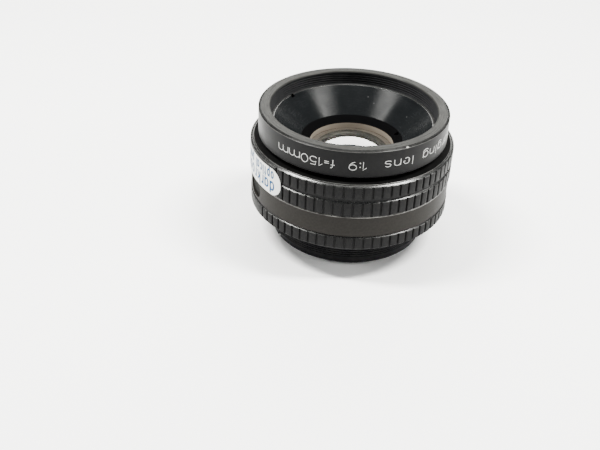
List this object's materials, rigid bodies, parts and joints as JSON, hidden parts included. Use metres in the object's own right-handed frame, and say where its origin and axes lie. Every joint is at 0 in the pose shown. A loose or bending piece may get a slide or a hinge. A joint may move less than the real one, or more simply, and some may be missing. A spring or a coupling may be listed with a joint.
{
  "type": "enlarger lens",
  "caption": "Barrel-mounted enlarging lens with a knurled aperture ring, an iris behind the front group, a filter thread and a rotating threaded mount.",
  "frame": {"origin": "on the optical axis, in the plane of the flange face that seats against the lens board", "axes": "+Z along the optical axis towards the front of the lens, +X and +Y in the seat plane with the reading window at 203 degrees from +X"},
  "size_m": [0.0635, 0.0634, 0.0427],
  "materials": {
    "anodised_black": "black anodised, satin, turned",
    "satin_band": "brownish black anodised, fine bead-blasted",
    "blackened_metal": "black anodised, fine turned lines",
    "matte_black": "matte optical black",
    "dark_brass": "chemically darkened brass",
    "blade_steel": "blued spring steel",
    "steel": "blackened steel",
    "window_plastic": "dark clear acrylic",
    "white_filling": "white engraving paint",
    "sticker_vinyl": "white vinyl sticker, semi-gloss",
    "coated_glass": "polished, with a thin antireflection coating"
  },
  "bodies": {
    "mount": {"mount_sleeve": "anodised_black", "grip_ring": "anodised_black", "grip_ring_screws": "steel"},
    "barrel": {"main_barrel": "blackened_metal", "fixed_band": "satin_band", "window": "window_plastic", "index_mark": "white_filling", "barrel_lock_ring": "anodised_black", "name_ring": "anodised_black", "hood_cone": "blackened_metal", "front_cell": "blackened_metal", "front_retaining_ring": "matte_black", "front_outer_element": "coated_glass", "front_inner_crown": "coated_glass", "front_spacer": "matte_black", "front_meniscus": "coated_glass", "iris_base_plate": "blackened_metal", "rear_cell": "blackened_metal", "rear_retaining_ring": "matte_black", "rear_outer_element": "coated_glass", "rear_inner_crown": "coated_glass", "rear_spacer": "matte_black", "rear_meniscus": "coated_glass", "click_ball": "steel", "click_spring": "steel"},
    "aperture_control": {"aperture_ring": "anodised_black", "scale_drum": "matte_black", "coupling_screw": "steel", "iris_drive_ring": "dark_brass", "shop_label": "sticker_vinyl"},
    "blade_01": {"iris_blade_01": "blade_steel"},
    "blade_02": {"iris_blade_02": "blade_steel"},
    "blade_03": {"iris_blade_03": "blade_steel"},
    "blade_04": {"iris_blade_04": "blade_steel"},
    "blade_05": {"iris_blade_05": "blade_steel"},
    "blade_06": {"iris_blade_06": "blade_steel"},
    "blade_07": {"iris_blade_07": "blade_steel"},
    "blade_08": {"iris_blade_08": "blade_steel"},
    "blade_09": {"iris_blade_09": "blade_steel"},
    "blade_10": {"iris_blade_10": "blade_steel"}
  },
  "joints": [
    {"name": "barrel_turn", "type": "hinge", "parent": "mount", "child": "barrel", "pos_m": [0, 0, 0], "axis": [0, 0, 1], "continuous": true},
    {"name": "aperture_turn", "type": "hinge", "parent": "barrel", "child": "aperture_control", "pos_m": [0, 0, 0.018], "axis": [0, 0, 1], "range_deg": [0, 45]},
    {"name": "blade_01_turn", "type": "hinge", "parent": "barrel", "child": "blade_01", "pos_m": [0.016, 0, 0.0065], "axis": [0, 0, 1], "range_deg": [0, 24.6]},
    {"name": "blade_02_turn", "type": "hinge", "parent": "barrel", "child": "blade_02", "pos_m": [0.01294, 0.0094, 0.0065], "axis": [0, 0, 1], "range_deg": [0, 24.6]},
    {"name": "blade_03_turn", "type": "hinge", "parent": "barrel", "child": "blade_03", "pos_m": [0.00494, 0.01522, 0.0065], "axis": [0, 0, 1], "range_deg": [0, 24.6]},
    {"name": "blade_04_turn", "type": "hinge", "parent": "barrel", "child": "blade_04", "pos_m": [-0.00494, 0.01522, 0.0065], "axis": [0, 0, 1], "range_deg": [0, 24.6]},
    {"name": "blade_05_turn", "type": "hinge", "parent": "barrel", "child": "blade_05", "pos_m": [-0.01294, 0.0094, 0.0065], "axis": [0, 0, 1], "range_deg": [0, 24.6]},
    {"name": "blade_06_turn", "type": "hinge", "parent": "barrel", "child": "blade_06", "pos_m": [-0.016, 0, 0.0065], "axis": [0, 0, 1], "range_deg": [0, 24.6]},
    {"name": "blade_07_turn", "type": "hinge", "parent": "barrel", "child": "blade_07", "pos_m": [-0.01294, -0.0094, 0.0065], "axis": [0, 0, 1], "range_deg": [0, 24.6]},
    {"name": "blade_08_turn", "type": "hinge", "parent": "barrel", "child": "blade_08", "pos_m": [-0.00494, -0.01522, 0.0065], "axis": [0, 0, 1], "range_deg": [0, 24.6]},
    {"name": "blade_09_turn", "type": "hinge", "parent": "barrel", "child": "blade_09", "pos_m": [0.00494, -0.01522, 0.0065], "axis": [0, 0, 1], "range_deg": [0, 24.6]},
    {"name": "blade_10_turn", "type": "hinge", "parent": "barrel", "child": "blade_10", "pos_m": [0.01294, -0.0094, 0.0065], "axis": [0, 0, 1], "range_deg": [0, 24.6]}
  ],
  "couplings": [
    {"joint": "blade_01_turn", "follows": "aperture_turn", "ratio": 0.54444},
    {"joint": "blade_02_turn", "follows": "aperture_turn", "ratio": 0.54444},
    {"joint": "blade_03_turn", "follows": "aperture_turn", "ratio": 0.54444},
    {"joint": "blade_04_turn", "follows": "aperture_turn", "ratio": 0.54444},
    {"joint": "blade_05_turn", "follows": "aperture_turn", "ratio": 0.54444},
    {"joint": "blade_06_turn", "follows": "aperture_turn", "ratio": 0.54444},
    {"joint": "blade_07_turn", "follows": "aperture_turn", "ratio": 0.54444},
    {"joint": "blade_08_turn", "follows": "aperture_turn", "ratio": 0.54444},
    {"joint": "blade_09_turn", "follows": "aperture_turn", "ratio": 0.54444},
    {"joint": "blade_10_turn", "follows": "aperture_turn", "ratio": 0.54444}
  ]
}
